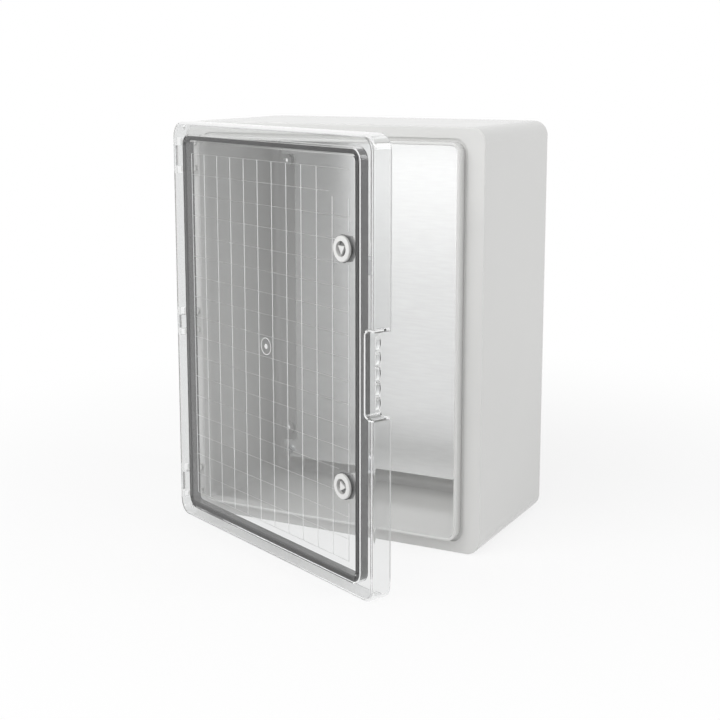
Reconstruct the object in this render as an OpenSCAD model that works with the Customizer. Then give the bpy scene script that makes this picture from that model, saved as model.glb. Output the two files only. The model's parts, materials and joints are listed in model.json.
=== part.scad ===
// Wall-mounted plastic electrical cabinet: a moulded tub, a clear hinged door with two quarter-turn
// locks, and a galvanised mounting plate on four pillars.
//
// Every piece is drawn with the cabinet lying on its back: x across, y up the cabinet and z from the
// back face to the front. upright() then stands it up, so the origin is the middle of the back face.

/* [Cabinet] */
// Width over the side faces
cabinet_w = 400; // [360:1:460]
// Height over the end faces
cabinet_h = 500; // [440:1:600]
// Depth from the back face to the ledge that the door closes on
body_d = 213; // [160:1:260]
// Thickness of the tub's walls
wall = 3.5; // [3:0.1:4]
// Radius of the four corners, seen from the front
corner_r = 18; // [16:0.5:20]
// Radius of the edges round the back
back_r = 12; // [8:0.5:14]
// Radius of the ledge's outer edge
ledge_edge_r = 1.5; // [1:0.1:2]

/* [Collar] */
// Middle of the collar from the side faces
collar_side = 27; // [26:0.5:29]
// Middle of the collar from the end faces
collar_end = 19; // [18:0.5:24]
// Height of the collar above the ledge
collar_h = 13; // [11:0.5:16]
// Thickness of the collar
collar_t = 3.5; // [3:0.1:4]
// Corner radius at the middle of the collar
collar_r = 10; // [9:0.5:14]
// Radius of the collar's lip
collar_lip_r = 1.2; // [0.6:0.1:1.4]
// Width of the gutter round the collar's foot
gutter_w = 4; // [2:0.1:5]
// Depth of the gutter below the ledge
gutter_d = 2; // [2:0.5:8]
// Thickness of the gutter's walls
gutter_t = 2; // [1.5:0.1:2.2]

/* [Door] */
// Depth of the door over its skirt
door_d = 24.5; // [23:0.5:27]
// Gap between the closed door's skirt and the ledge
door_gap = 2.5; // [2.3:0.1:4]
// Thickness of the door's front
door_t = 3; // [2.5:0.1:3.5]
// Thickness of the door's skirt
skirt_t = 3; // [2.5:0.1:3.3]
// Radius round the door's front edge
door_edge_r = 4; // [3.2:0.1:5]
// Angle that the door stands open
door_open = 25; // [0:1:110]

/* [Gasket] */
// Width of the gasket's channel
channel_w = 5; // [4.5:0.5:7]
// Thickness of the ridges beside the channel
ridge_t = 2; // [1.5:0.1:2.4]
// Height of the ridges
ridge_h = 10; // [6:0.5:10]
// Gap between the closed door's gasket and the collar
gasket_gap = 0.3; // [0.2:0.1:0.6]
// Gap between the gasket and each ridge
gasket_fit = 0.1; // [0.05:0.05:0.3]

/* [Hinges] */
// Hinge axis from the cabinet's left face
hinge_in = 6; // [6:0.1:6.4]
// Hinge axis in front of the ledge
hinge_out = 12; // [11.8:0.1:12.4]
// Radius of the knuckles
knuckle_r = 4.5; // [4.2:0.1:4.6]
// Radius of the hinge pins
pin_r = 2; // [1.6:0.1:2.2]
// Radial play of the door on the pins
pin_play = 0.05; // [0.02:0.01:0.1]
// Radial room for the pins in the hinge ears
pin_fit = 0.02; // [0.01:0.01:0.04]
// Length of the end hinges
end_hinge_l = 40; // [34:1:50]
// Length of the middle hinge
mid_hinge_l = 32; // [30:1:44]
// Outer end of the end hinges from the cabinet's ends
end_hinge_from = 22; // [20:1:40]
// Thickness of the hinge ears
ear_t = 7; // [5:0.5:8]
// Gap between an ear and the knuckle
ear_gap = 0.3; // [0.2:0.1:0.6]

/* [Locks] */
// Lock axis from the door's free edge
lock_in = 50; // [49:0.5:56]
// Lock axis from mid-height
lock_up = 129; // [90:1:150]
// Radius of the lock's flange
flange_r = 14; // [13:0.5:15]
// Height of the flange in front of the door
flange_t = 3; // [2.5:0.1:4]
// Radius of the threaded barrel
barrel_r = 11; // [10.5:0.1:11.5]
// Length of the barrel behind the door's front
barrel_l = 20; // [17:0.5:22]
// Radius of the turning core
core_r = 6; // [5:0.1:6.5]
// Radial play of the core in the barrel
core_play = 0.05; // [0.02:0.01:0.1]
// Radius of the key recess
recess_r = 8.5; // [8:0.1:9]
// Side of the triangle that the key fits
triangle_side = 11; // [8:0.5:12]
// Reach of the cam from the lock axis
cam_reach = 31; // [30:0.5:36]
// Width of the cam
cam_w = 14; // [12:0.5:16]
// Thickness of the cam
cam_t = 3; // [2:0.1:3.5]
// Gap between the closed cam and the gutter that it catches behind
cam_gap = 1; // [0.5:0.1:2]

/* [Finger notch] */
// Height of the notch in the door's free edge
notch_h = 92; // [70:1:120]
// Depth of the notch into the door
notch_in = 14; // [10:0.5:14.5]
// Radius of the notch's inner corners
notch_r = 5; // [3:0.5:7]
// Depth of the notch's wall behind the door's front face
notch_wall_d = 21; // [16:0.5:21.5]
// Radius round the notch's front edge
notch_edge_r = 2; // [1:0.1:2.4]
// Number of waves that the fingers pull on
grip_count = 5; // [3:1:5]
// Spacing of the waves
grip_pitch = 16.2; // [12:0.1:16.2]
// Height of the waves
grip_h = 2.5; // [1:0.1:3]
// Radius of the waves
grip_r = 12; // [8:0.5:12]
// Length of the waves along the notch's depth
grip_l = 5; // [3:0.5:8]
// Distance of the waves from the back edge of the notch's wall
grip_edge = 1.5; // [0.5:0.5:3]

/* [Mounting plate] */
// Width of the plate over its corner tabs
plate_w = 340; // [330:1:342]
// Width of the plate between the tabs, which leaves the wall-fixing holes in reach
plate_waist_w = 300; // [280:1:310]
// Height of the corner tabs
plate_tab_h = 24; // [20:1:40]
// Height of the plate
plate_h = 446; // [400:1:450]
// Thickness of the plate
plate_t = 1.5; // [1:0.1:3]
// Corner radius of the plate
plate_r = 4; // [1:0.5:10]
// Plate screws from the edges of the tabs
plate_screw_in = 10; // [9:0.5:12]
// Back of the plate in front of the cabinet's back face
plate_up = 28; // [22:0.5:40]
// Radius of the pillars
pillar_r = 7; // [6.5:0.1:9]
// Radius of the brass inserts
insert_r = 4; // [3.8:0.1:4.5]
// Length of the brass inserts
insert_l = 12; // [8:0.5:15]
// Radius of the plate screws
screw_r = 2.5; // [2:0.1:2.8]

/* [Wall fixing] */
// Spacing of the wall-fixing holes across
fixing_w = 354; // [300:1:356]
// Spacing of the wall-fixing holes up
fixing_h = 378; // [300:1:384]
// Radius of the wall-fixing holes
fixing_r = 3.5; // [2.5:0.1:4.5]
// Radius of the pads round the holes
fixing_pad_r = 9; // [7:0.5:10.5]
// Height of the pads
fixing_pad_h = 4; // [2:0.5:6]

/* [Hidden] */
$fn = 64;

// Length by which a cut runs past the faces it goes through
over = 1;
// Overlap of solids that are joined into one
join = 0.5;

cabinet_grey = [0.83, 0.84, 0.83];
lock_grey = [0.88, 0.88, 0.86];
clear_door = [0.86, 0.88, 0.88, 0.35];
rubber_grey = [0.3, 0.31, 0.31];
zinc = [0.72, 0.73, 0.74];
brass = [0.78, 0.63, 0.34];

// Heights above the back face of the cabinet lying on its back, with the door closed
collar_top = body_d + collar_h;
skirt_z = body_d + door_gap;
door_front = skirt_z + door_d;
door_back = door_front - door_t;
ledge_back = body_d - wall;

// The collar's outline at its middle, which the gasket follows
collar_w = cabinet_w - 2 * collar_side;
collar_l = cabinet_h - 2 * collar_end;

// Width of the sections of the tub and the door, which stop just short of their corners' axes
section_w = corner_r - join;

// The ledge's outline, let into the walls, and its inner edge, let into the gutter's outer wall
ledge_w = cabinet_w - 2 * wall + 2 * join;
ledge_l = cabinet_h - 2 * wall + 2 * join;
gutter_mid = gutter_w + gutter_t / 2;
gutter_under = gutter_d + gutter_t;

// The hinge axis, and the middle and length of each hinge along it
hinge_x = hinge_in - cabinet_w / 2;
hinge_z = body_d + hinge_out;
end_hinge_y = cabinet_h / 2 - end_hinge_from - end_hinge_l / 2;
hinge_cut_front = 8.1;
hinge_base_t = 2.5;
hinge_base_w = 18;
hinge_base_edge = 0.5;
hinge_boss_h = 7;
hinge_boss_r = 4;
hinge_boss_x = 15;
hinge_screw_r = 1.5;
hinge_screw_fit = 0.05;
hinge_screw_bite = 6;
hinge_head_r = 3.2;
hinge_head_t = 2;
pin_head_r = 3.4;
pin_head_t = 1.5;
pin_head_gap = 0.5;
hinge_cut_room = pin_head_t + pin_head_gap;

// The lock's parts, along its axis from the door's front face
lock_x = cabinet_w / 2 - lock_in;
recess_d = 6;
core_disc_t = 2;
core_disc_gap = 0.4;
triangle_h = 3.2;
axial_play = 0.1;
flange_chamfer = 0.8;
seal_t = 0.8;
seal_over = 1;
barrel_fit = 0.15;
nut_flats = 27;
nut_t = 5;
shank_side = 8;
shank_fit = 0.05;
shank_over = 0.2;
cam_hub_r = 9;
cam_screw_r = 2;
cam_screw_l = 10;
cam_head_r = 4.6;
cam_head_t = 3;
flange_front = door_front + seal_t + flange_t;
barrel_back = door_back - barrel_l;
cam_hub_front = barrel_back - axial_play;
cam_arm_front = body_d - gutter_under - cam_gap;
cam_crank_gap = 1.5;
cam_crank = cam_hub_r + cam_crank_gap;
// Both cams stand clear of the collar: the upper one hangs down and the lower one stands up
upper_cam_point = -90;
lower_cam_point = 90;
upper_triangle_point = -90;
lower_triangle_point = 0;

// The mounting plate's screws and washers
pillar_x = plate_w / 2 - plate_screw_in;
pillar_y = plate_h / 2 - plate_screw_in;
plate_front = plate_up + plate_t;
plate_hole_room = 0.4;
washer_t = 1;
washer_r = 6;
head_r = 4.8;
head_t = 3.4;
slot_w = 1.2;
slot_d = 1.6;
screw_fit = 0.05;
screw_l = 12;
screw_end_room = 2;
gusset_t = 2.5;
gusset_l = 16;
gusset_drop = 6;

// Shapes that several pieces use

// A slab with round corners, from z = 0 up
module slab(w, l, r, t) {
    translate([r - w / 2, -l / 2, 0]) cube([w - 2 * r, l, t]);
    translate([-w / 2, r - l / 2, 0]) cube([w, l - 2 * r, t]);
    for (x = [-1, 1], y = [-1, 1]) {
        translate([x * (w / 2 - r), y * (l / 2 - r), 0]) cylinder(r = r, h = t);
    }
}

// A frame of round-cornered outline, its walls standing inside w by l
module slab_ring(w, l, r, side, t) {
    difference() {
        slab(w, l, r, t);
        translate([0, 0, -over]) slab(w - 2 * side, l - 2 * side, r - side, t + 2 * over);
    }
}

// A flat profile carried round a round-cornered outline: its x runs inwards from the outline's edge
module carried_round(w, l, r) {
    for (turn = [0 : 3]) {
        across = turn % 2 == 0 ? w : l;
        along = turn % 2 == 0 ? l : w;
        rotate(90 * turn) {
            translate([across / 2, along / 2 - r, 0]) rotate([90, 0, 0]) linear_extrude(along - 2 * r)
                mirror([1, 0]) children();
            translate([across / 2 - r, along / 2 - r, 0]) rotate_extrude(angle = 90)
                translate([r, 0]) mirror([1, 0]) children();
        }
    }
}

// A flat rectangle whose two corners on the y axis are round: r0 at the bottom and r1 at the top
module edge_rounded(w, l, r0, r1) {
    intersection() {
        square([w, l]);
        union() {
            translate([0, r0]) square([w, l - r0 - r1]);
            translate([r0, 0]) square([w, r0 + join]);
            translate([r1, l - r1 - join]) square([w, r1 + join]);
            translate([r0, r0]) circle(r0);
            translate([r1, l - r1]) circle(r1);
        }
    }
}

// The middle of the back or of the door's front, let into the sections carried round it
module middle(t) {
    slab(cabinet_w - 2 * section_w + 2 * join, cabinet_h - 2 * section_w + 2 * join, 2 * join, t);
}

// Puts a copy at each corner of a rectangle
module at_corners(w, l) {
    for (x = [-1, 1], y = [-1, 1]) {
        translate([x * w / 2, y * l / 2, 0]) children();
    }
}

module upright() {
    rotate([90, 0, 0]) children();
}

// Carries the closed door's pieces to the angle at which the door stands
module on_door() {
    upright() translate([hinge_x, 0, hinge_z]) rotate([0, -door_open, 0]) translate([-hinge_x, 0, -hinge_z])
        children();
}

// Cabinet body

// Wall, with its rounded back edge and the rim of the back
module tub_section() {
    difference() {
        edge_rounded(section_w, body_d, back_r, ledge_edge_r);
        translate([wall, wall]) edge_rounded(section_w, body_d, back_r - wall, 0);
    }
}

// The collar's wall with its round lip, and the gutter round its foot
module collar_section() {
    translate([0, -gutter_under]) square([collar_t, collar_h + gutter_under - collar_lip_r]);
    translate([collar_lip_r, 0]) square([collar_t - 2 * collar_lip_r, collar_h]);
    for (x = [collar_lip_r, collar_t - collar_lip_r]) {
        translate([x, collar_h - collar_lip_r]) circle(collar_lip_r);
    }
    translate([-gutter_w - gutter_t, -gutter_under]) {
        square([gutter_w + gutter_t + join, gutter_t]);
        square([gutter_t, gutter_under]);
    }
}

// The ledge round the front, up to the middle of the gutter's outer wall
module ledge() {
    difference() {
        slab(ledge_w, ledge_l, corner_r - wall + join, wall);
        translate([0, 0, -over])
            slab(collar_w + collar_t + 2 * gutter_mid, collar_l + collar_t + 2 * gutter_mid,
                 collar_r + collar_t / 2 + gutter_mid, wall + 2 * over);
    }
}

// A pillar for the mounting plate, braced towards the nearest walls
module pillar() {
    translate([0, 0, wall - join]) cylinder(r = pillar_r, h = plate_up - wall + join);
    for (turn = [0, 90]) {
        rotate([90, 0, turn]) translate([0, wall - join, -gusset_t / 2]) linear_extrude(gusset_t)
            polygon([[0, 0], [gusset_l, 0], [pillar_r, plate_up - wall - gusset_drop],
                     [0, plate_up - wall - gusset_drop]]);
    }
}

module pillars() {
    for (x = [-1, 1], y = [-1, 1]) {
        translate([x * pillar_x, y * pillar_y, 0])
            rotate(x > 0 ? (y > 0 ? 0 : -90) : (y > 0 ? 90 : 180)) pillar();
    }
}

module cabinet_body() {
    color(cabinet_grey) upright() difference() {
        union() {
            carried_round(cabinet_w, cabinet_h, corner_r) tub_section();
            middle(wall);
            translate([0, 0, ledge_back]) ledge();
            translate([0, 0, body_d])
                carried_round(collar_w + collar_t, collar_l + collar_t, collar_r + collar_t / 2)
                    collar_section();
            pillars();
            translate([0, 0, wall - join]) at_corners(fixing_w, fixing_h)
                cylinder(r = fixing_pad_r, h = fixing_pad_h + join);
        }
        translate([0, 0, -over]) at_corners(fixing_w, fixing_h)
            cylinder(r = fixing_r, h = wall + fixing_pad_h + 2 * over);
        translate([0, 0, plate_up - insert_l]) at_corners(2 * pillar_x, 2 * pillar_y)
            cylinder(r = insert_r, h = insert_l + over);
        translate([0, 0, plate_up - screw_l - screw_end_room]) at_corners(2 * pillar_x, 2 * pillar_y)
            cylinder(r = screw_r, h = screw_l);
        hinge_screw_places() translate([0, 0, ledge_back - over])
            cylinder(r = hinge_screw_r, h = wall + 2 * over);
    }
}

// Hinges

// Puts the children at both screws of each hinge, on the ledge
module hinge_screw_places() {
    hinge_screw_pair(end_hinge_y, end_hinge_l) children();
    hinge_screw_pair(0, mid_hinge_l) children();
    hinge_screw_pair(-end_hinge_y, end_hinge_l) children();
}

module hinge_screw_pair(y, length) {
    for (end = [-1, 1]) {
        translate([hinge_boss_x - cabinet_w / 2, y + end * (length / 2 - hinge_boss_r), 0]) children();
    }
}

// A bracket of the cabinet: a base on the ledge, an ear at each end and a boss for each screw
module hinge(y, length) {
    color(cabinet_grey) upright() difference() {
        union() {
            translate([hinge_base_edge - cabinet_w / 2, y - length / 2, body_d])
                cube([hinge_base_w, length, hinge_base_t]);
            for (end = [-1, 1]) {
                translate([hinge_x, y + end * (length - ear_t) / 2, hinge_z]) {
                    rotate([90, 0, 0]) cylinder(r = knuckle_r, h = ear_t, center = true);
                    translate([-knuckle_r, -ear_t / 2, -hinge_out]) cube([2 * knuckle_r, ear_t, hinge_out]);
                }
            }
            hinge_screw_pair(y, length) translate([0, 0, body_d]) cylinder(r = hinge_boss_r, h = hinge_boss_h);
        }
        translate([hinge_x, y, hinge_z]) rotate([90, 0, 0])
            cylinder(r = pin_r + pin_fit, h = length + 2 * over, center = true);
        hinge_screw_pair(y, length) translate([0, 0, body_d - over])
            cylinder(r = hinge_screw_r, h = hinge_screw_bite + over);
    }
}

module hinge_upper() {
    hinge(end_hinge_y, end_hinge_l);
}

module hinge_middle() {
    hinge(0, mid_hinge_l);
}

module hinge_lower() {
    hinge(-end_hinge_y, end_hinge_l);
}

// A steel pin, dropped in from above until its head sits on the upper ear
module hinge_pin(y, length) {
    color(zinc) upright() translate([hinge_x, y + length / 2, hinge_z]) rotate([90, 0, 0]) {
        cylinder(r = pin_r, h = length);
        translate([0, 0, -pin_head_t]) cylinder(r = pin_head_r, h = pin_head_t);
    }
}

module hinge_pin_upper() {
    hinge_pin(end_hinge_y, end_hinge_l);
}

module hinge_pin_middle() {
    hinge_pin(0, mid_hinge_l);
}

module hinge_pin_lower() {
    hinge_pin(-end_hinge_y, end_hinge_l);
}

// The screws that hold the hinges, driven from inside through the ledge
module hinge_screws() {
    color(zinc) upright() hinge_screw_places() {
        translate([0, 0, ledge_back - hinge_head_t]) cylinder(r = hinge_head_r, h = hinge_head_t);
        translate([0, 0, ledge_back - join])
            cylinder(r = hinge_screw_r - hinge_screw_fit, h = wall + hinge_screw_bite + join - over);
    }
}

// Mounting plate

module plate_inserts() {
    color(brass) upright() translate([0, 0, plate_up - insert_l]) at_corners(2 * pillar_x, 2 * pillar_y)
        difference() {
            cylinder(r = insert_r, h = insert_l);
            translate([0, 0, -over]) cylinder(r = screw_r, h = insert_l + 2 * over);
        }
}

module mounting_plate() {
    color(zinc) upright() translate([0, 0, plate_up]) difference() {
        slab(plate_w, plate_h, plate_r, plate_t);
        for (side = [-1, 1]) {
            translate([side * (plate_waist_w + plate_w) / 2, 0, -over])
                slab(plate_w, plate_h - 2 * plate_tab_h, plate_r, plate_t + 2 * over);
        }
        translate([0, 0, -over]) at_corners(2 * pillar_x, 2 * pillar_y)
            cylinder(r = screw_r + plate_hole_room, h = plate_t + 2 * over);
    }
}

module plate_washers() {
    color(zinc) upright() translate([0, 0, plate_front]) at_corners(2 * pillar_x, 2 * pillar_y)
        difference() {
            cylinder(r = washer_r, h = washer_t);
            translate([0, 0, -over]) cylinder(r = screw_r + screw_fit, h = washer_t + 2 * over);
        }
}

module plate_screws() {
    color(zinc) upright() translate([0, 0, plate_front + washer_t]) at_corners(2 * pillar_x, 2 * pillar_y)
        difference() {
            union() {
                cylinder(r = head_r, h = head_t);
                translate([0, 0, plate_up - plate_front - washer_t - screw_l])
                    cylinder(r = screw_r - screw_fit, h = screw_l + plate_t + washer_t + join);
            }
            for (turn = [0, 90]) {
                rotate(turn) translate([-head_r / 2, -slot_w / 2, head_t - slot_d])
                    cube([head_r, slot_w, slot_d + over]);
            }
        }
}

// Door

// Skirt, rounded front edge and the rim of the front
module door_section() {
    difference() {
        edge_rounded(section_w, door_d, 0, door_edge_r);
        translate([skirt_t, -over])
            edge_rounded(section_w, door_d - door_t + over, 0, door_edge_r - skirt_t);
    }
}

// The opening for the fingers, and the wall round it at wall thickness `out`
module notch_slab(out) {
    translate([cabinet_w / 2, 0, skirt_z - over])
        slab(2 * (notch_in + out), notch_h + 2 * out, notch_r + out, door_d + 2 * over);
}

// Limits of the notch's wall, seen along the door's height: its back edge slopes out to the skirt
module notch_reach() {
    inner = cabinet_w / 2 - notch_in - skirt_t;
    wall_back = door_front - notch_wall_d;
    translate([0, notch_h, 0]) rotate([90, 0, 0]) linear_extrude(2 * notch_h)
        polygon([[inner, door_back + join], [cabinet_w / 2, door_back + join], [cabinet_w / 2, skirt_z],
                 [cabinet_w / 2 - notch_in, wall_back], [inner, wall_back]]);
}

module notch_wall() {
    difference() {
        intersection() {
            notch_slab(skirt_t);
            notch_reach();
        }
        notch_slab(0);
    }
    grips();
}

// Waves along the back of the notch's wall, which the fingers pull on
module grips() {
    inner = cabinet_w / 2 - notch_in;
    grip_back = door_front - notch_wall_d + grip_edge;
    intersection() {
        for (i = [0 : grip_count - 1]) {
            translate([inner + grip_h - grip_r, (i - (grip_count - 1) / 2) * grip_pitch, grip_back])
                cylinder(r = grip_r, h = grip_l);
        }
        translate([inner - skirt_t / 2, -notch_h / 2, grip_back - over])
            cube([skirt_t / 2 + grip_r, notch_h, grip_l + 2 * over]);
    }
}

// What the rounding of the notch's front edge takes away
module notch_edge() {
    translate([cabinet_w / 2, 0, door_front]) carried_round(2 * notch_in, notch_h, notch_r)
        translate([-notch_edge_r, -notch_edge_r]) difference() {
            square([notch_edge_r + join, notch_edge_r + over]);
            circle(notch_edge_r);
        }
}

// Room in the skirt for a hinge of the cabinet
module hinge_cut(y, length) {
    translate([-cabinet_w / 2 - over, y - length / 2 - hinge_cut_room, skirt_z - over])
        cube([2 * hinge_in + over, length + 2 * hinge_cut_room, hinge_z + hinge_cut_front - skirt_z + over]);
}

// The door's knuckle between a hinge's ears, on a web from the front
module door_knuckle(y, length) {
    knuckle_l = length - 2 * ear_t - 2 * ear_gap;
    translate([hinge_x, y, hinge_z]) rotate([90, 0, 0]) cylinder(r = knuckle_r, h = knuckle_l, center = true);
    translate([hinge_x - knuckle_r, y - knuckle_l / 2, hinge_z])
        cube([2 * knuckle_r, knuckle_l, door_back - hinge_z + join]);
}

module at_hinges() {
    door_hinges = [[end_hinge_y, end_hinge_l], [0, mid_hinge_l], [-end_hinge_y, end_hinge_l]];
    for (h = door_hinges) {
        $hinge_y = h[0];
        $hinge_l = h[1];
        children();
    }
}

module door() {
    channel_out = collar_w + channel_w;
    channel_out_l = collar_l + channel_w;
    color(clear_door) on_door() difference() {
        union() {
            difference() {
                union() {
                    translate([0, 0, skirt_z]) carried_round(cabinet_w, cabinet_h, corner_r) door_section();
                    translate([0, 0, door_back]) middle(door_t);
                }
                at_hinges() hinge_cut($hinge_y, $hinge_l);
                notch_slab(0);
                notch_edge();
            }
            notch_wall();
            translate([0, 0, door_back - ridge_h]) {
                slab_ring(channel_out + 2 * ridge_t, channel_out_l + 2 * ridge_t,
                          collar_r + channel_w / 2 + ridge_t, ridge_t, ridge_h + join);
                slab_ring(channel_out - 2 * channel_w, channel_out_l - 2 * channel_w,
                          collar_r - channel_w / 2, ridge_t, ridge_h + join);
            }
            at_hinges() door_knuckle($hinge_y, $hinge_l);
        }
        for (side = [-1, 1]) {
            translate([lock_x, side * lock_up, door_back - over])
                cylinder(r = barrel_r + barrel_fit, h = door_t + 2 * over);
        }
        translate([hinge_x, 0, hinge_z]) rotate([90, 0, 0])
            cylinder(r = pin_r + pin_play, h = cabinet_h + 2 * over, center = true);
    }
}

// Foam gasket, glued in the channel and pressed by the collar
module door_gasket() {
    width = channel_w - 2 * gasket_fit;
    depth = door_back - collar_top - gasket_gap;
    color(rubber_grey) on_door() translate([0, 0, collar_top + gasket_gap])
        slab_ring(collar_w + width, collar_l + width, collar_r + width / 2, width, depth);
}

// Locks

// Carries a lock's parts to the upper (1) or the lower (-1) lock
module at_lock(side) {
    on_door() translate([lock_x, side * lock_up, 0]) children();
}

// Flanged barrel through the door, with the key recess and the bearing for the core
module lock_housing(side) {
    recess_floor = flange_front - recess_d;
    color(lock_grey) at_lock(side) difference() {
        union() {
            translate([0, 0, door_front + seal_t]) cylinder(r = flange_r, h = flange_t - flange_chamfer);
            translate([0, 0, flange_front - flange_chamfer])
                cylinder(r1 = flange_r, r2 = flange_r - flange_chamfer, h = flange_chamfer);
            translate([0, 0, barrel_back]) cylinder(r = barrel_r, h = flange_front - barrel_back - flange_chamfer);
        }
        translate([0, 0, recess_floor]) cylinder(r = recess_r, h = recess_d + over);
        translate([0, 0, barrel_back - over]) cylinder(r = core_r + core_play, h = barrel_l + flange_front);
    }
}

// Flat seal between the flange and the door
module lock_seal(side) {
    color(rubber_grey) at_lock(side) translate([0, 0, door_front]) difference() {
        cylinder(r = flange_r + seal_over, h = seal_t);
        translate([0, 0, -over]) cylinder(r = barrel_r + barrel_fit, h = seal_t + 2 * over);
    }
}

// Hexagon nut behind the door's front
module lock_nut(side) {
    color(lock_grey) at_lock(side) translate([0, 0, door_back - nut_t]) difference() {
        cylinder(d = nut_flats / cos(30), h = nut_t, $fn = 6);
        translate([0, 0, -over]) cylinder(r = barrel_r + screw_fit, h = nut_t + 2 * over);
    }
}

// The core that the key turns: a disc with a triangle in front, and a square shank for the cam behind.
// `point` is the angle at which the triangle points.
module lock_core(side, point) {
    disc_back = flange_front - recess_d + axial_play;
    shank_back = cam_hub_front - cam_t + shank_over;
    color(lock_grey) at_lock(side) difference() {
        union() {
            translate([0, 0, disc_back]) cylinder(r = recess_r - core_disc_gap, h = core_disc_t);
            translate([0, 0, disc_back + core_disc_t - join]) rotate(point)
                cylinder(r = triangle_side / sqrt(3), h = triangle_h + join, $fn = 3);
            translate([0, 0, cam_hub_front]) cylinder(r = core_r, h = disc_back - cam_hub_front + join);
            translate([-shank_side / 2, -shank_side / 2, shank_back])
                cube([shank_side, shank_side, cam_hub_front - shank_back + join]);
        }
        translate([0, 0, shank_back - over]) cylinder(r = cam_screw_r, h = cam_screw_l + over);
    }
}

// Cranked steel cam, drawn pointing to the right and turned to `point`
module lock_cam(side, point) {
    arm_back = cam_arm_front - cam_t;
    color(zinc) at_lock(side) rotate(point) difference() {
        union() {
            translate([0, 0, cam_hub_front - cam_t]) {
                cylinder(r = cam_hub_r, h = cam_t);
                translate([0, -cam_w / 2, 0]) cube([cam_crank + cam_t, cam_w, cam_t]);
            }
            translate([cam_crank, -cam_w / 2, arm_back]) cube([cam_t, cam_w, cam_hub_front - arm_back]);
            translate([cam_crank, -cam_w / 2, arm_back]) cube([cam_reach - cam_w / 2 - cam_crank, cam_w, cam_t]);
            translate([cam_reach - cam_w / 2, 0, arm_back]) cylinder(r = cam_w / 2, h = cam_t);
        }
        translate([-shank_side / 2 - shank_fit, -shank_side / 2 - shank_fit, cam_hub_front - cam_t - over])
            cube([shank_side + 2 * shank_fit, shank_side + 2 * shank_fit, cam_t + 2 * over]);
    }
}

// Screw that clamps the cam on the shank
module lock_cam_screw(side) {
    head_front = cam_hub_front - cam_t;
    color(zinc) at_lock(side) difference() {
        union() {
            translate([0, 0, head_front - cam_head_t]) cylinder(r = cam_head_r, h = cam_head_t);
            translate([0, 0, head_front - join]) cylinder(r = cam_screw_r - screw_fit, h = cam_screw_l - over);
        }
        translate([0, 0, head_front - cam_head_t - over])
            cylinder(d = cam_head_r / cos(30), h = slot_d + over, $fn = 6);
    }
}

cabinet_body();
hinge_upper();
hinge_middle();
hinge_lower();
hinge_pin_upper();
hinge_pin_middle();
hinge_pin_lower();
hinge_screws();
plate_inserts();
mounting_plate();
plate_washers();
plate_screws();
door();
door_gasket();
lock_housing(1);  // lock_upper_housing
lock_seal(1);  // lock_upper_seal
lock_nut(1);  // lock_upper_nut
lock_core(1, upper_triangle_point);  // lock_upper_core
lock_cam(1, upper_cam_point);  // lock_upper_cam
lock_cam_screw(1);  // lock_upper_cam_screw
lock_housing(-1);  // lock_lower_housing
lock_seal(-1);  // lock_lower_seal
lock_nut(-1);  // lock_lower_nut
lock_core(-1, lower_triangle_point);  // lock_lower_core
lock_cam(-1, lower_cam_point);  // lock_lower_cam
lock_cam_screw(-1);  // lock_lower_cam_screw
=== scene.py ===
import json
import math

import bpy
from mathutils import Matrix, Vector


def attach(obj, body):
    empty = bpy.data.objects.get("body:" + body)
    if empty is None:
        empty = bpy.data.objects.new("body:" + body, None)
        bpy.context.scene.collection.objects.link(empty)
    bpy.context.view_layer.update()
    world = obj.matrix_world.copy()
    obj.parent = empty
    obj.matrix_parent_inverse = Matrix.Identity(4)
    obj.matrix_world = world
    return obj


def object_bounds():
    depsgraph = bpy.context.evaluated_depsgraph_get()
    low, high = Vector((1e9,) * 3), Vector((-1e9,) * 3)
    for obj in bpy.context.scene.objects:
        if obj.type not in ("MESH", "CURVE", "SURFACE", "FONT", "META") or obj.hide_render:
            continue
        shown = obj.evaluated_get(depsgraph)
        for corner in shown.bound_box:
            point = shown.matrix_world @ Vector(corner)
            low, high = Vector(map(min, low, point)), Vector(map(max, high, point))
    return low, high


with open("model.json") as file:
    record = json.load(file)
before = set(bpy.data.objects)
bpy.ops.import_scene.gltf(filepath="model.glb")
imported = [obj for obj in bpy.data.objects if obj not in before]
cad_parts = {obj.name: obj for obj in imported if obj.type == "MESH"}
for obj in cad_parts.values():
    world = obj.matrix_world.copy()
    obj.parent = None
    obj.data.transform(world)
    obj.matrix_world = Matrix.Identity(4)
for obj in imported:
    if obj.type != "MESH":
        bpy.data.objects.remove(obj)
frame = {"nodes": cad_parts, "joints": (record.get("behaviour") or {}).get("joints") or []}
cad_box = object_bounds()
scene = bpy.context.scene

# Camera
# It stands to the right of the open door, a little above the cabinet, and looks slightly down.
# A small vertical shift frames the cabinet as the photograph does.
# Places are in metres, angles in radians, and the lens and its sensor in millimetres.
camera_turn = 0.4766
camera_pitch = 0.172
camera_place = (0.78335, -1.64778, 0.32057)
camera_data = bpy.data.cameras.new("photo_camera")
camera_data.lens = 68.96
camera_data.sensor_width = 36
camera_data.shift_y = -0.08
camera = bpy.data.objects.new("photo_camera", camera_data)
camera.location = camera_place
camera.rotation_euler = (math.pi / 2 - camera_pitch, 0, camera_turn)
scene.collection.objects.link(camera)
scene.camera = camera
scene.view_settings.view_transform = "Standard"

# Floor
# A wide sheet of white paper lies under the cabinet and runs out into the white of the studio.
# It shows the cabinet's own soft shadow close by, and is plain white further away.
floor_gap = 0.0005
floor_level = cad_box[0].z - floor_gap
floor_reach = 30.0
floor_mesh = bpy.data.meshes.new("floor")
floor_mesh.from_pydata(
    [(x * floor_reach, y * floor_reach, floor_level) for x, y in ((-1, -1), (1, -1), (1, 1), (-1, 1))],
    [], [(0, 1, 2, 3)])
floor = bpy.data.objects.new("floor", floor_mesh)
scene.collection.objects.link(floor)


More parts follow.
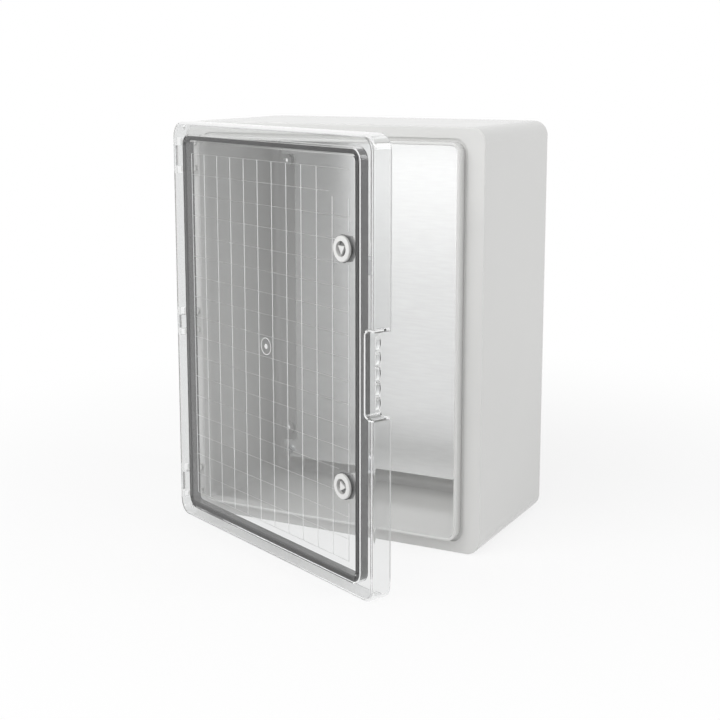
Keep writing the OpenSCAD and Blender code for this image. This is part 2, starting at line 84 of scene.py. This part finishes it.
def add(tree, kind, wiring=None, **settings):
    """Adds a node to a tree, applies its settings, and links or sets the inputs that wiring names."""
    node = tree.nodes.new(kind)
    for setting, value in settings.items():
        setattr(node, setting, value)
    for socket, source in (wiring or {}).items():
        if isinstance(source, bpy.types.NodeSocket):
            tree.links.new(source, node.inputs[socket])
        else:
            node.inputs[socket].default_value = source
    return node


def worked_out(tree, operation, first, second):
    """The result of a Math node on two values."""
    return add(tree, "ShaderNodeMath", {0: first, 1: second}, operation=operation).outputs["Value"]


def new_material(name):
    """A material with its node tree and its Principled shader."""
    material = bpy.data.materials.new(name)
    material.use_nodes = True
    return material, material.node_tree, material.node_tree.nodes["Principled BSDF"]


def any_ray(tree, *kinds):
    """1 for rays of the named kinds and 0 for all others."""
    path = add(tree, "ShaderNodeLightPath").outputs
    total = path[f"Is {kinds[0]} Ray"]
    for kind in kinds[1:]:
        total = worked_out(tree, "MAXIMUM", total, path[f"Is {kind} Ray"])
    return total


floor_paper, tree, shader = new_material("floor_paper")
shader.inputs["Base Color"].default_value = (0.9, 0.9, 0.9, 1)
shader.inputs["Roughness"].default_value = 0.9
shader.inputs["Specular IOR Level"].default_value = 0.1
away = add(tree, "ShaderNodeVectorMath", {0: add(tree, "ShaderNodeTexCoord").outputs["Object"]},
           operation="LENGTH").outputs["Value"]
shadow_reach = 0.3
plain_reach = 1.0
shadow_whiteness = 0.8
bleached = add(tree, "ShaderNodeMapRange",
               {"Value": away, "From Min": shadow_reach, "From Max": plain_reach,
                "To Min": shadow_whiteness, "To Max": 1.0},
               interpolation_type="SMOOTHSTEP").outputs["Result"]
whiteness = worked_out(tree, "MULTIPLY", bleached, any_ray(tree, "Camera", "Glossy", "Transmission"))
plain_white = add(tree, "ShaderNodeEmission", {"Strength": 1.0}).outputs["Emission"]
floor_look = add(tree, "ShaderNodeMixShader", {0: whiteness, 1: shader.outputs["BSDF"], 2: plain_white})
tree.links.new(floor_look.outputs["Shader"], tree.nodes["Material Output"].inputs["Surface"])
floor_mesh.materials.append(floor_paper)

# Studio light
# The room is white where it is seen, in a mirror or through the door as well, and dimmer as a light.
# Soft boxes hang over the front, fill the right side and face the mounting plate from the front left.
world = bpy.data.worlds.new("studio")
world.use_nodes = True
scene.world = world
tree = world.node_tree
room = tree.nodes["Background"]
room.inputs["Color"].default_value = (1, 1, 1, 1)
room.inputs["Strength"].default_value = 0.42
seen_room = add(tree, "ShaderNodeBackground", {"Color": (1, 1, 1, 1), "Strength": 1.0})
room_look = add(tree, "ShaderNodeMixShader",
                {0: any_ray(tree, "Camera", "Glossy", "Transmission"),
                 1: room.outputs["Background"], 2: seen_room.outputs["Background"]})
tree.links.new(room_look.outputs["Shader"], tree.nodes["World Output"].inputs["Surface"])


def soft_box(name, place, aim, size, power):
    """A rectangular area lamp of a power in watts that stands at place and faces aim."""
    lamp = bpy.data.lights.new(name, "AREA")
    lamp.shape = "RECTANGLE"
    lamp.size, lamp.size_y = size
    lamp.energy = power
    holder = bpy.data.objects.new(name, lamp)
    holder.location = place
    holder.rotation_euler = (Vector(aim) - Vector(place)).to_track_quat("-Z", "Y").to_euler()
    scene.collection.objects.link(holder)


soft_box("overhead_box", place=(-0.4, -1.5, 1.6), aim=(0, -0.1, -0.2), size=(2.4, 1.6), power=22)
soft_box("right_box", place=(2.0, 0.1, 1.1), aim=(0.2, -0.1, 0), size=(0.9, 1.2), power=14)
soft_box("front_box", place=(-1.15, -2.5, 1.2), aim=(-1.15, 0, 1.2), size=(2.3, 2.8), power=27)

# Cabinet body
# The tub is one injection moulding in light grey ABS, smooth, with a faint orange peel in its gloss.
# Its ledge, gutter, collar, pillars and wall-fixing pads are moulded with it.


def dress(material, *names):
    """Gives CAD nodes their finish."""
    for name in names:
        mesh = frame["nodes"][name].data
        mesh.materials.clear()
        mesh.materials.append(material)


def object_noise(tree, scale, detail=2.0, stretch=(1, 1, 1)):
    """Noise on object coordinates, in cycles per metre times the stretch of each axis."""
    place = add(tree, "ShaderNodeTexCoord").outputs["Object"]
    mapped = add(tree, "ShaderNodeMapping", {"Vector": place, "Scale": stretch})
    noise = add(tree, "ShaderNodeTexNoise",
                {"Vector": mapped.outputs["Vector"], "Scale": scale, "Detail": detail})
    return noise.outputs["Fac"]


def run_between(tree, factor, start, end, low, high, socket):
    """Feeds a socket with a value or colour that goes from low to high as factor goes from start to end."""
    ramp = add(tree, "ShaderNodeMapRange", {"Value": factor, "From Min": start, "From Max": end})
    if isinstance(low, tuple):
        blend = add(tree, "ShaderNodeMix", data_type="RGBA")
        tree.links.new(ramp.outputs["Result"], blend.inputs["Factor"])
        blend.inputs["A"].default_value = (*low, 1)
        blend.inputs["B"].default_value = (*high, 1)
        tree.links.new(blend.outputs["Result"], socket)
    else:
        ramp.inputs["To Min"].default_value = low
        ramp.inputs["To Max"].default_value = high
        tree.links.new(ramp.outputs["Result"], socket)


usual_noise = (0.3, 0.7)


def vary(tree, noise, low, high, socket):
    """Feeds a socket from noise, over the range in which most of its values lie."""
    run_between(tree, noise, *usual_noise, low, high, socket)


def roughen(tree, shader, height, depth):
    """Bump of a real depth in metres."""
    bump = add(tree, "ShaderNodeBump", {"Height": height, "Distance": depth})
    tree.links.new(bump.outputs["Normal"], shader.inputs["Normal"])


def shaded(colour, factor):
    """A colour made darker or lighter by a factor."""
    return tuple(channel * factor for channel in colour)


peel_scale = 500
peel_depth = 0.000008


def moulded_plastic(name, colour, roughness):
    """Smooth moulded plastic with a slow drift of colour, slightly uneven gloss and a faint orange peel."""
    material, tree, shader = new_material(name)
    shader.inputs["Specular IOR Level"].default_value = 0.3
    drift = object_noise(tree, scale=7)
    vary(tree, drift, shaded(colour, 0.99), shaded(colour, 1.01), shader.inputs["Base Color"])
    gloss = object_noise(tree, scale=30, detail=3)
    vary(tree, gloss, roughness * 0.94, roughness * 1.06, shader.inputs["Roughness"])
    peel = object_noise(tree, peel_scale)
    roughen(tree, shader, peel, peel_depth)
    return material


cabinet_plastic = moulded_plastic("cabinet_plastic", colour=(0.70, 0.70, 0.69), roughness=0.2)
dress(cabinet_plastic, "cabinet_body")

# Hinges
# Three brackets of the same grey plastic stand on the ledge behind the door's left edge.
# Each is held by two screws from inside and carries a zinc-plated steel pin with a flat head.
dress(cabinet_plastic, "hinge_upper", "hinge_middle", "hinge_lower")


def plated_steel(name, colour, roughness, grain, depth, metallic=1.0):
    """Plated steel with fine lines in its coat; grain is in lines per metre along each axis."""
    material, tree, shader = new_material(name)
    shader.inputs["Metallic"].default_value = metallic
    lines = object_noise(tree, scale=1, detail=3, stretch=grain)
    vary(tree, lines, shaded(colour, 0.97), shaded(colour, 1.03), shader.inputs["Base Color"])
    vary(tree, lines, roughness * 0.9, roughness * 1.1, shader.inputs["Roughness"])
    roughen(tree, shader, lines, depth)
    return material


zinc_steel = plated_steel("zinc_steel", colour=(0.60, 0.61, 0.62), roughness=0.36, grain=(900, 900, 300),
                          depth=0.00001)
dress(zinc_steel, "hinge_pin_upper", "hinge_pin_middle", "hinge_pin_lower", "hinge_screws")

# Mounting plate
# A sheet of galvanised steel with a horizontal rolling grain stands on four pillars in the tub.
# Screws with washers hold it by its corner tabs in brass inserts.
galvanised_steel = plated_steel("galvanised_steel", colour=(0.85, 0.855, 0.855), roughness=0.24,
                                grain=(40, 400, 400), depth=0.000003, metallic=0.55)
dress(galvanised_steel, "mounting_plate")
dress(zinc_steel, "plate_washers", "plate_screws")

insert_brass, tree, shader = new_material("insert_brass")
shader.inputs["Metallic"].default_value = 1.0
brass_tint = object_noise(tree, scale=150, detail=3)
vary(tree, brass_tint, (0.45, 0.32, 0.13), (0.62, 0.46, 0.21), shader.inputs["Base Color"])
shader.inputs["Roughness"].default_value = 0.35
dress(insert_brass, "plate_inserts")

# Door
# The door is one moulding in clear polycarbonate: a flat pane in a skirt, with ridges for the gasket,
# knuckles for the hinge pins and a waved notch for the fingers. It hangs on the three pins.
joints = {joint["name"]: joint for joint in frame["joints"]}
hinge_axis = Vector(joints["door_swing"]["pos_m"])
closing = math.radians(joints["door_swing"]["range_deg"][0])
to_hinge = Matrix.Translation(hinge_axis)
door_turn = to_hinge @ Matrix.Rotation(closing, 4, "Z") @ to_hinge.inverted()
across = door_turn.to_3x3() @ Vector((1, 0, 0))
outward = door_turn.to_3x3() @ Vector((0, -1, 0))


def closed_box(name):
    """Lowest and highest corners of a door node with the door closed."""
    points = [door_turn.inverted() @ vertex.co for vertex in frame["nodes"][name].data.vertices]
    return [Vector([edge(point[i] for point in points) for i in range(3)]) for edge in (min, max)]


def front_reach(name):
    """How far the front of a door node lies outwards, in metres along the door's outward direction."""
    return max(vertex.co.dot(outward) for vertex in frame["nodes"][name].data.vertices)


def reach(tree, way):
    """How far a place lies along a direction, in metres."""
    place = add(tree, "ShaderNodeTexCoord").outputs["Object"]
    return add(tree, "ShaderNodeVectorMath", {0: place, 1: way}, operation="DOT_PRODUCT").outputs["Value"]


pane_thickness = 0.003
skirt_depth = 0.0245
channel_width = 0.005
channel_corner = 0.0125
gasket_fit = 0.0001
channel_half = closed_box("door_gasket")[1] + Vector((gasket_fit, 0, gasket_fit))
outer_wall_free = 0.0003


def channel_faces(tree):
    """1 on the floor and inner wall of the gasket's channel, to which the foam sticks, and 0 elsewhere."""
    sideways = worked_out(tree, "ADD", reach(tree, across), hinge_axis.x - hinge_axis.dot(across))
    upwards = reach(tree, (0, 0, 1))
    beyond = []
    for spot, half in ((sideways, channel_half.x), (upwards, channel_half.z)):
        from_middle = worked_out(tree, "ABSOLUTE", spot, 0.0)
        beyond.append(worked_out(tree, "SUBTRACT", from_middle, half - channel_corner))
    past = [worked_out(tree, "MAXIMUM", gap, 0.0) for gap in beyond]
    in_corner = add(tree, "ShaderNodeCombineXYZ", {"X": past[0], "Y": past[1]}).outputs["Vector"]
    rounded = add(tree, "ShaderNodeVectorMath", {0: in_corner}, operation="LENGTH").outputs["Value"]
    straight = worked_out(tree, "MINIMUM", worked_out(tree, "MAXIMUM", *beyond), 0.0)
    outline = worked_out(tree, "ADD", rounded, straight)
    inside = worked_out(tree, "LESS_THAN", outline, channel_corner - outer_wall_free)
    outside = worked_out(tree, "GREATER_THAN", outline, channel_corner - channel_width - gasket_fit)
    pane_middle = front_reach("door") - pane_thickness / 2
    behind = worked_out(tree, "LESS_THAN", reach(tree, outward), pane_middle)
    return worked_out(tree, "MULTIPLY", behind, worked_out(tree, "MULTIPLY", inside, outside))


clear_specular = 0.5
foam_grey = (0.14, 0.14, 0.14)
rim_reach = front_reach("door") - skirt_depth
rim_matt_to = rim_reach + 0.0002
rim_clear_from = rim_reach + 0.0004
rim_clearness = 0.3


def clear_moulding(name, tint, shade, roughness):
    """Clear plastic with a slight tint, matt on its rear rim and dark where the foam sticks to it.

    Shadows, soft light and mirrored light pass straight through and are dimmed by shade at each face.
    """
    material, tree, shader = new_material(name)
    shader.inputs["IOR"].default_value = 1.5
    bonded = channel_faces(tree)
    run_between(tree, bonded, 0.0, 1.0, tint, foam_grey, shader.inputs["Base Color"])
    run_between(tree, bonded, 0.0, 1.0, clear_specular, 0.0, shader.inputs["Specular IOR Level"])
    unbonded = worked_out(tree, "SUBTRACT", 1.0, bonded)
    clearness = add(tree, "ShaderNodeMath", {1: unbonded}, operation="MULTIPLY")
    run_between(tree, reach(tree, outward), rim_matt_to, rim_clear_from, rim_clearness, 1.0,
                clearness.inputs[0])
    tree.links.new(clearness.outputs["Value"], shader.inputs["Transmission Weight"])
    haze = object_noise(tree, scale=30)
    vary(tree, haze, roughness * 0.5, roughness * 1.5, shader.inputs["Roughness"])
    passing = add(tree, "ShaderNodeBsdfTransparent", {"Color": (*shade, 1)})
    path = add(tree, "ShaderNodeLightPath").outputs
    mirrored = worked_out(tree, "GREATER_THAN", path["Is Glossy Ray"], path["Is Transmission Ray"])
    unbent = worked_out(tree, "MAXIMUM", any_ray(tree, "Shadow", "Diffuse"), mirrored)
    look = add(tree, "ShaderNodeMixShader",
               {0: unbent, 1: shader.outputs["BSDF"], 2: passing.outputs["BSDF"]})
    tree.links.new(look.outputs["Shader"], tree.nodes["Material Output"].inputs["Surface"])
    return material


clear_plastic = clear_moulding("clear_plastic", tint=(0.86, 0.865, 0.865), shade=(0.95, 0.95, 0.95),
                               roughness=0.02)
dress(clear_plastic, "door")
# Light runs to and fro inside the skirt and the ridges before it leaves them.
scene.cycles.max_bounces = 24
scene.cycles.glossy_bounces = 16
scene.cycles.transmission_bounces = 24

pane_back = closed_box("door")[0].y + pane_thickness
lock_place = door_turn.inverted() @ Vector(joints["lock_upper_turn"]["pos_m"])

# Grid on the pane
# Fine ribs are moulded on the back of the pane as a grid for marking out cut-outs: plain uprights and
# faint level lines. They stop round the locks and at a smooth field near the top right corner, and a
# ring with a pip marks the gate.
grid_sizes = {
    "Columns": 11, "Rows": 17, "Column Pitch": 0.0285, "Row Pitch": 0.025, "Steps": 5,
    "Lock Across": lock_place.x, "Lock Up": lock_place.z, "Lock Clear": 0.0172,
    "Field Across": 0.1425, "Field Up": 0.1975, "Field Width": 0.034, "Field Height": 0.022,
}


def tree_with_sizes(name, sizes):
    """An empty Geometry Nodes tree with a named input for each size, and those inputs."""
    tree = bpy.data.node_groups.new(name, "GeometryNodeTree")
    for title, value in sizes.items():
        kind = "NodeSocketInt" if isinstance(value, int) else "NodeSocketFloat"
        tree.interface.new_socket(title, in_out="INPUT", socket_type=kind)
    tree.interface.new_socket("Piece", in_out="OUTPUT", socket_type="NodeSocketGeometry")
    return tree, add(tree, "NodeGroupInput").outputs


def end_tree(tree, shapes, material):
    """Joins the shapes, realizes them, gives them their material and ends the tree."""
    joined = add(tree, "GeometryNodeJoinGeometry")
    for shape in shapes:
        tree.links.new(shape, joined.inputs["Geometry"])
    real = add(tree, "GeometryNodeRealizeInstances", {"Geometry": joined.outputs["Geometry"]})
    dressed = add(tree, "GeometryNodeSetMaterial",
                  {"Geometry": real.outputs["Geometry"], "Material": material})
    add(tree, "NodeGroupOutput", {"Piece": dressed.outputs["Geometry"]})


def grown_piece(name, tree, sizes, placing):
    """A plain mesh piece that a tree makes from its sizes, put in its place on the object."""
    piece = bpy.data.objects.new(name, bpy.data.meshes.new(name))
    scene.collection.objects.link(piece)
    growth = piece.modifiers.new(name, "NODES")
    growth.node_group = tree
    for socket in tree.interface.items_tree:
        if socket.in_out == "INPUT":
            growth[socket.identifier] = sizes[socket.name]
    graph = bpy.context.evaluated_depsgraph_get()
    mesh = bpy.data.meshes.new_from_object(piece.evaluated_get(graph))
    piece.modifiers.clear()
    piece.data = mesh
    mesh.transform(placing)
    return piece


def round_bar(tree, path, radius, sides=6):
    """A round bar along a path."""
    section = add(tree, "GeometryNodeCurvePrimitiveCircle", {"Resolution": sides, "Radius": radius})
    return add(tree, "GeometryNodeCurveToMesh", {"Curve": path, "Profile Curve": section.outputs["Curve"],
                                                 "Fill Caps": True}).outputs["Mesh"]


def centred_row(tree, count, pitch, axis):
    """Points in a row along an axis, with the row's middle at the origin."""
    span = worked_out(tree, "MULTIPLY", worked_out(tree, "SUBTRACT", count, 1.0), pitch)
    start = add(tree, "ShaderNodeCombineXYZ", {axis: worked_out(tree, "MULTIPLY", span, -0.5)})
    step = add(tree, "ShaderNodeCombineXYZ", {axis: pitch})
    return add(tree, "GeometryNodeMeshLine", {"Count": count, "Start Location": start.outputs["Vector"],
                                              "Offset": step.outputs["Vector"]}).outputs["Mesh"]


def left_free(tree, size):
    """True at points near a lock or on the smooth field."""
    place = add(tree, "GeometryNodeInputPosition").outputs["Position"]
    aside, up, _ = add(tree, "ShaderNodeSeparateXYZ", {"Vector": place}).outputs
    folded = add(tree, "ShaderNodeCombineXYZ", {"X": aside, "Y": worked_out(tree, "ABSOLUTE", up, 0.0)})
    lock = add(tree, "ShaderNodeCombineXYZ", {"X": size["Lock Across"], "Y": size["Lock Up"]})
    to_lock = add(tree, "ShaderNodeVectorMath", {0: folded.outputs["Vector"], 1: lock.outputs["Vector"]},
                  operation="DISTANCE").outputs["Value"]
    free = worked_out(tree, "LESS_THAN", to_lock, size["Lock Clear"])
    on_field = 1.0
    for spot, middle, length in ((aside, "Field Across", "Field Width"), (up, "Field Up", "Field Height")):
        off = worked_out(tree, "ABSOLUTE", worked_out(tree, "SUBTRACT", spot, size[middle]), 0.0)
        inside = worked_out(tree, "LESS_THAN", off, worked_out(tree, "MULTIPLY", size[length], 0.5))
        on_field = worked_out(tree, "MULTIPLY", on_field, inside)
    return worked_out(tree, "MAXIMUM", free, on_field)


def parallel_ribs(tree, size, radius, row_axis, gaps, pitch, run_axis, cells, cell_length):
    """Ribs side by side, one more than the gaps between them, cut where the pane stays free."""
    points = worked_out(tree, "ADD", worked_out(tree, "MULTIPLY", cells, size["Steps"]), 1.0)
    run = centred_row(tree, points, worked_out(tree, "DIVIDE", cell_length, size["Steps"]), run_axis)
    side_by_side = centred_row(tree, worked_out(tree, "ADD", gaps, 1.0), pitch, row_axis)
    rows = add(tree, "GeometryNodeInstanceOnPoints", {"Points": side_by_side, "Instance": run})
    loose = add(tree, "GeometryNodeRealizeInstances", {"Geometry": rows.outputs["Instances"]})
    cut = add(tree, "GeometryNodeDeleteGeometry",
              {"Geometry": loose.outputs["Geometry"], "Selection": left_free(tree, size)}, domain="POINT")
    paths = add(tree, "GeometryNodeMeshToCurve", {"Mesh": cut.outputs["Geometry"]})
    return round_bar(tree, paths.outputs["Curve"], radius)


def rib_plastic(name, clearness):
    """Clear plastic whose small round shape catches the light; the clearer, the less white it looks."""
    material, tree, shader = new_material(name)
    tint = object_noise(tree, scale=60)
    vary(tree, tint, (0.94, 0.94, 0.94), (0.98, 0.98, 0.98), shader.inputs["Base Color"])
    shader.inputs["IOR"].default_value = 1.58
    shader.inputs["Transmission Weight"].default_value = clearness
    shader.inputs["Roughness"].default_value = 0.3
    return material


on_pane_back = door_turn @ Matrix.Translation((0, pane_back, 0)) @ Matrix.Rotation(math.pi / 2, 4, "X")
upright_sizes = {**grid_sizes, "Rib Radius": 0.0005, "Gate Radius": 0.0097, "Pip Radius": 0.003}
tree, size = tree_with_sizes("pane_uprights", upright_sizes)
uprights = parallel_ribs(tree, size, radius=size["Rib Radius"],
                         row_axis="X", gaps=size["Columns"], pitch=size["Column Pitch"],
                         run_axis="Y", cells=size["Rows"], cell_length=size["Row Pitch"])
gate_path = add(tree, "GeometryNodeCurvePrimitiveCircle", {"Resolution": 48, "Radius": size["Gate Radius"]})
gate_ring = round_bar(tree, gate_path.outputs["Curve"], size["Rib Radius"])
pip = add(tree, "GeometryNodeMeshUVSphere", {"Segments": 20, "Rings": 10, "Radius": size["Pip Radius"]})
flat_pip = add(tree, "GeometryNodeTransform", {"Geometry": pip.outputs["Mesh"], "Scale": (1, 1, 0.4)})
upright_plastic = rib_plastic("upright_plastic", clearness=0.2)
end_tree(tree, (uprights, gate_ring, flat_pip.outputs["Geometry"]), upright_plastic)
pane_uprights = grown_piece("pane_uprights", tree, upright_sizes, on_pane_back)

level_sizes = {**grid_sizes, "Rib Radius": 0.00025}
tree, size = tree_with_sizes("pane_levels", level_sizes)
levels = parallel_ribs(tree, size, radius=size["Rib Radius"],
                       row_axis="Y", gaps=size["Rows"], pitch=size["Row Pitch"],
                       run_axis="X", cells=size["Columns"], cell_length=size["Column Pitch"])
end_tree(tree, (levels,), rib_plastic("level_plastic", clearness=0.93))
pane_levels = grown_piece("pane_levels", tree, level_sizes, on_pane_back)
for grid in (pane_uprights, pane_levels):
    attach(grid, "door")

# Gasket
# An endless bead of dark grey foam is poured into the channel on the back of the door and sticks to
# the channel's floor and inner wall. It has a fine skin with small pores.
gasket_foam, tree, shader = new_material("gasket_foam")
foam_tint = object_noise(tree, scale=60, detail=3)
vary(tree, foam_tint, (0.012, 0.0122, 0.0125), (0.02, 0.0205, 0.021), shader.inputs["Base Color"])
shader.inputs["Roughness"].default_value = 0.75
shader.inputs["Specular IOR Level"].default_value = 0.2
pore_scale = 900
pore_depth = 0.00015
pores = object_noise(tree, pore_scale, detail=3)
roughen(tree, shader, pores, pore_depth)
dress(gasket_foam, "door_gasket")

# Locks
# Each quarter-turn lock has a flanged barrel through the pane, a rubber seal under the flange, a nut
# behind the pane, and a core with a raised triangle in front and a steel cam behind.
lock_grey = (0.70, 0.70, 0.69)
lock_plastic = moulded_plastic("lock_plastic", colour=lock_grey, roughness=0.36)
nut_plastic = moulded_plastic("nut_plastic", colour=(0.25, 0.25, 0.25), roughness=0.45)
# The core's front is painted dark grey below the raised triangle: painted shade on the recess floor round
# it, fading up to the lock grey on the triangle.
triangle_top = front_reach("lock_upper_core")
recess_shade_to = triangle_top - 0.0028
triangle_from = triangle_top - 0.0022
painted_recess_shade = (0.22, 0.22, 0.22)
core_with_painted_shade, tree, shader = new_material("core_with_painted_shade")
run_between(tree, reach(tree, outward), recess_shade_to, triangle_from, painted_recess_shade, lock_grey,
            shader.inputs["Base Color"])
core_gloss = object_noise(tree, scale=120, detail=3)
vary(tree, core_gloss, 0.38, 0.46, shader.inputs["Roughness"])

seal_rubber, tree, shader = new_material("seal_rubber")
rubber_tint = object_noise(tree, scale=200, detail=3)
vary(tree, rubber_tint, (0.10, 0.10, 0.10), (0.15, 0.15, 0.15), shader.inputs["Base Color"])
shader.inputs["Roughness"].default_value = 0.6

for side in ("upper", "lower"):
    dress(lock_plastic, f"lock_{side}_housing")
    dress(nut_plastic, f"lock_{side}_nut")
    dress(core_with_painted_shade, f"lock_{side}_core")
    dress(seal_rubber, f"lock_{side}_seal")
    dress(zinc_steel, f"lock_{side}_cam", f"lock_{side}_cam_screw")

# Threads of the lock barrels
# The barrels are threaded over their free length behind the nuts.
# The thread is moulded on the barrel in the same grey plastic, and the nut is turned on along it.
barrel_radius = 0.011
thread_pitch = 0.002
nut_back = closed_box("lock_upper_nut")[1].y
barrel_back = closed_box("lock_upper_housing")[1].y
thread_length = barrel_back - nut_back - thread_pitch
thread_sizes = {"Turns": thread_length / thread_pitch, "Barrel Radius": barrel_radius,
                "Length": thread_length, "Crest Radius": 0.0006}
tree, size = tree_with_sizes("barrel_thread", thread_sizes)
helix = add(tree, "GeometryNodeCurveSpiral", {
    "Resolution": 32, "Rotations": size["Turns"], "Start Radius": size["Barrel Radius"],
    "End Radius": size["Barrel Radius"], "Height": size["Length"]})
end_tree(tree, (round_bar(tree, helix.outputs["Curve"], size["Crest Radius"]),), lock_plastic)

for side, direction in (("upper", 1), ("lower", -1)):
    thread_start = Matrix.Translation((lock_place.x, nut_back + thread_pitch / 2, direction * lock_place.z))
    along_barrel = door_turn @ thread_start @ Matrix.Rotation(-math.pi / 2, 4, "X")
    thread = grown_piece(f"lock_{side}_thread", tree, thread_sizes, along_barrel)
    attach(thread, "door")
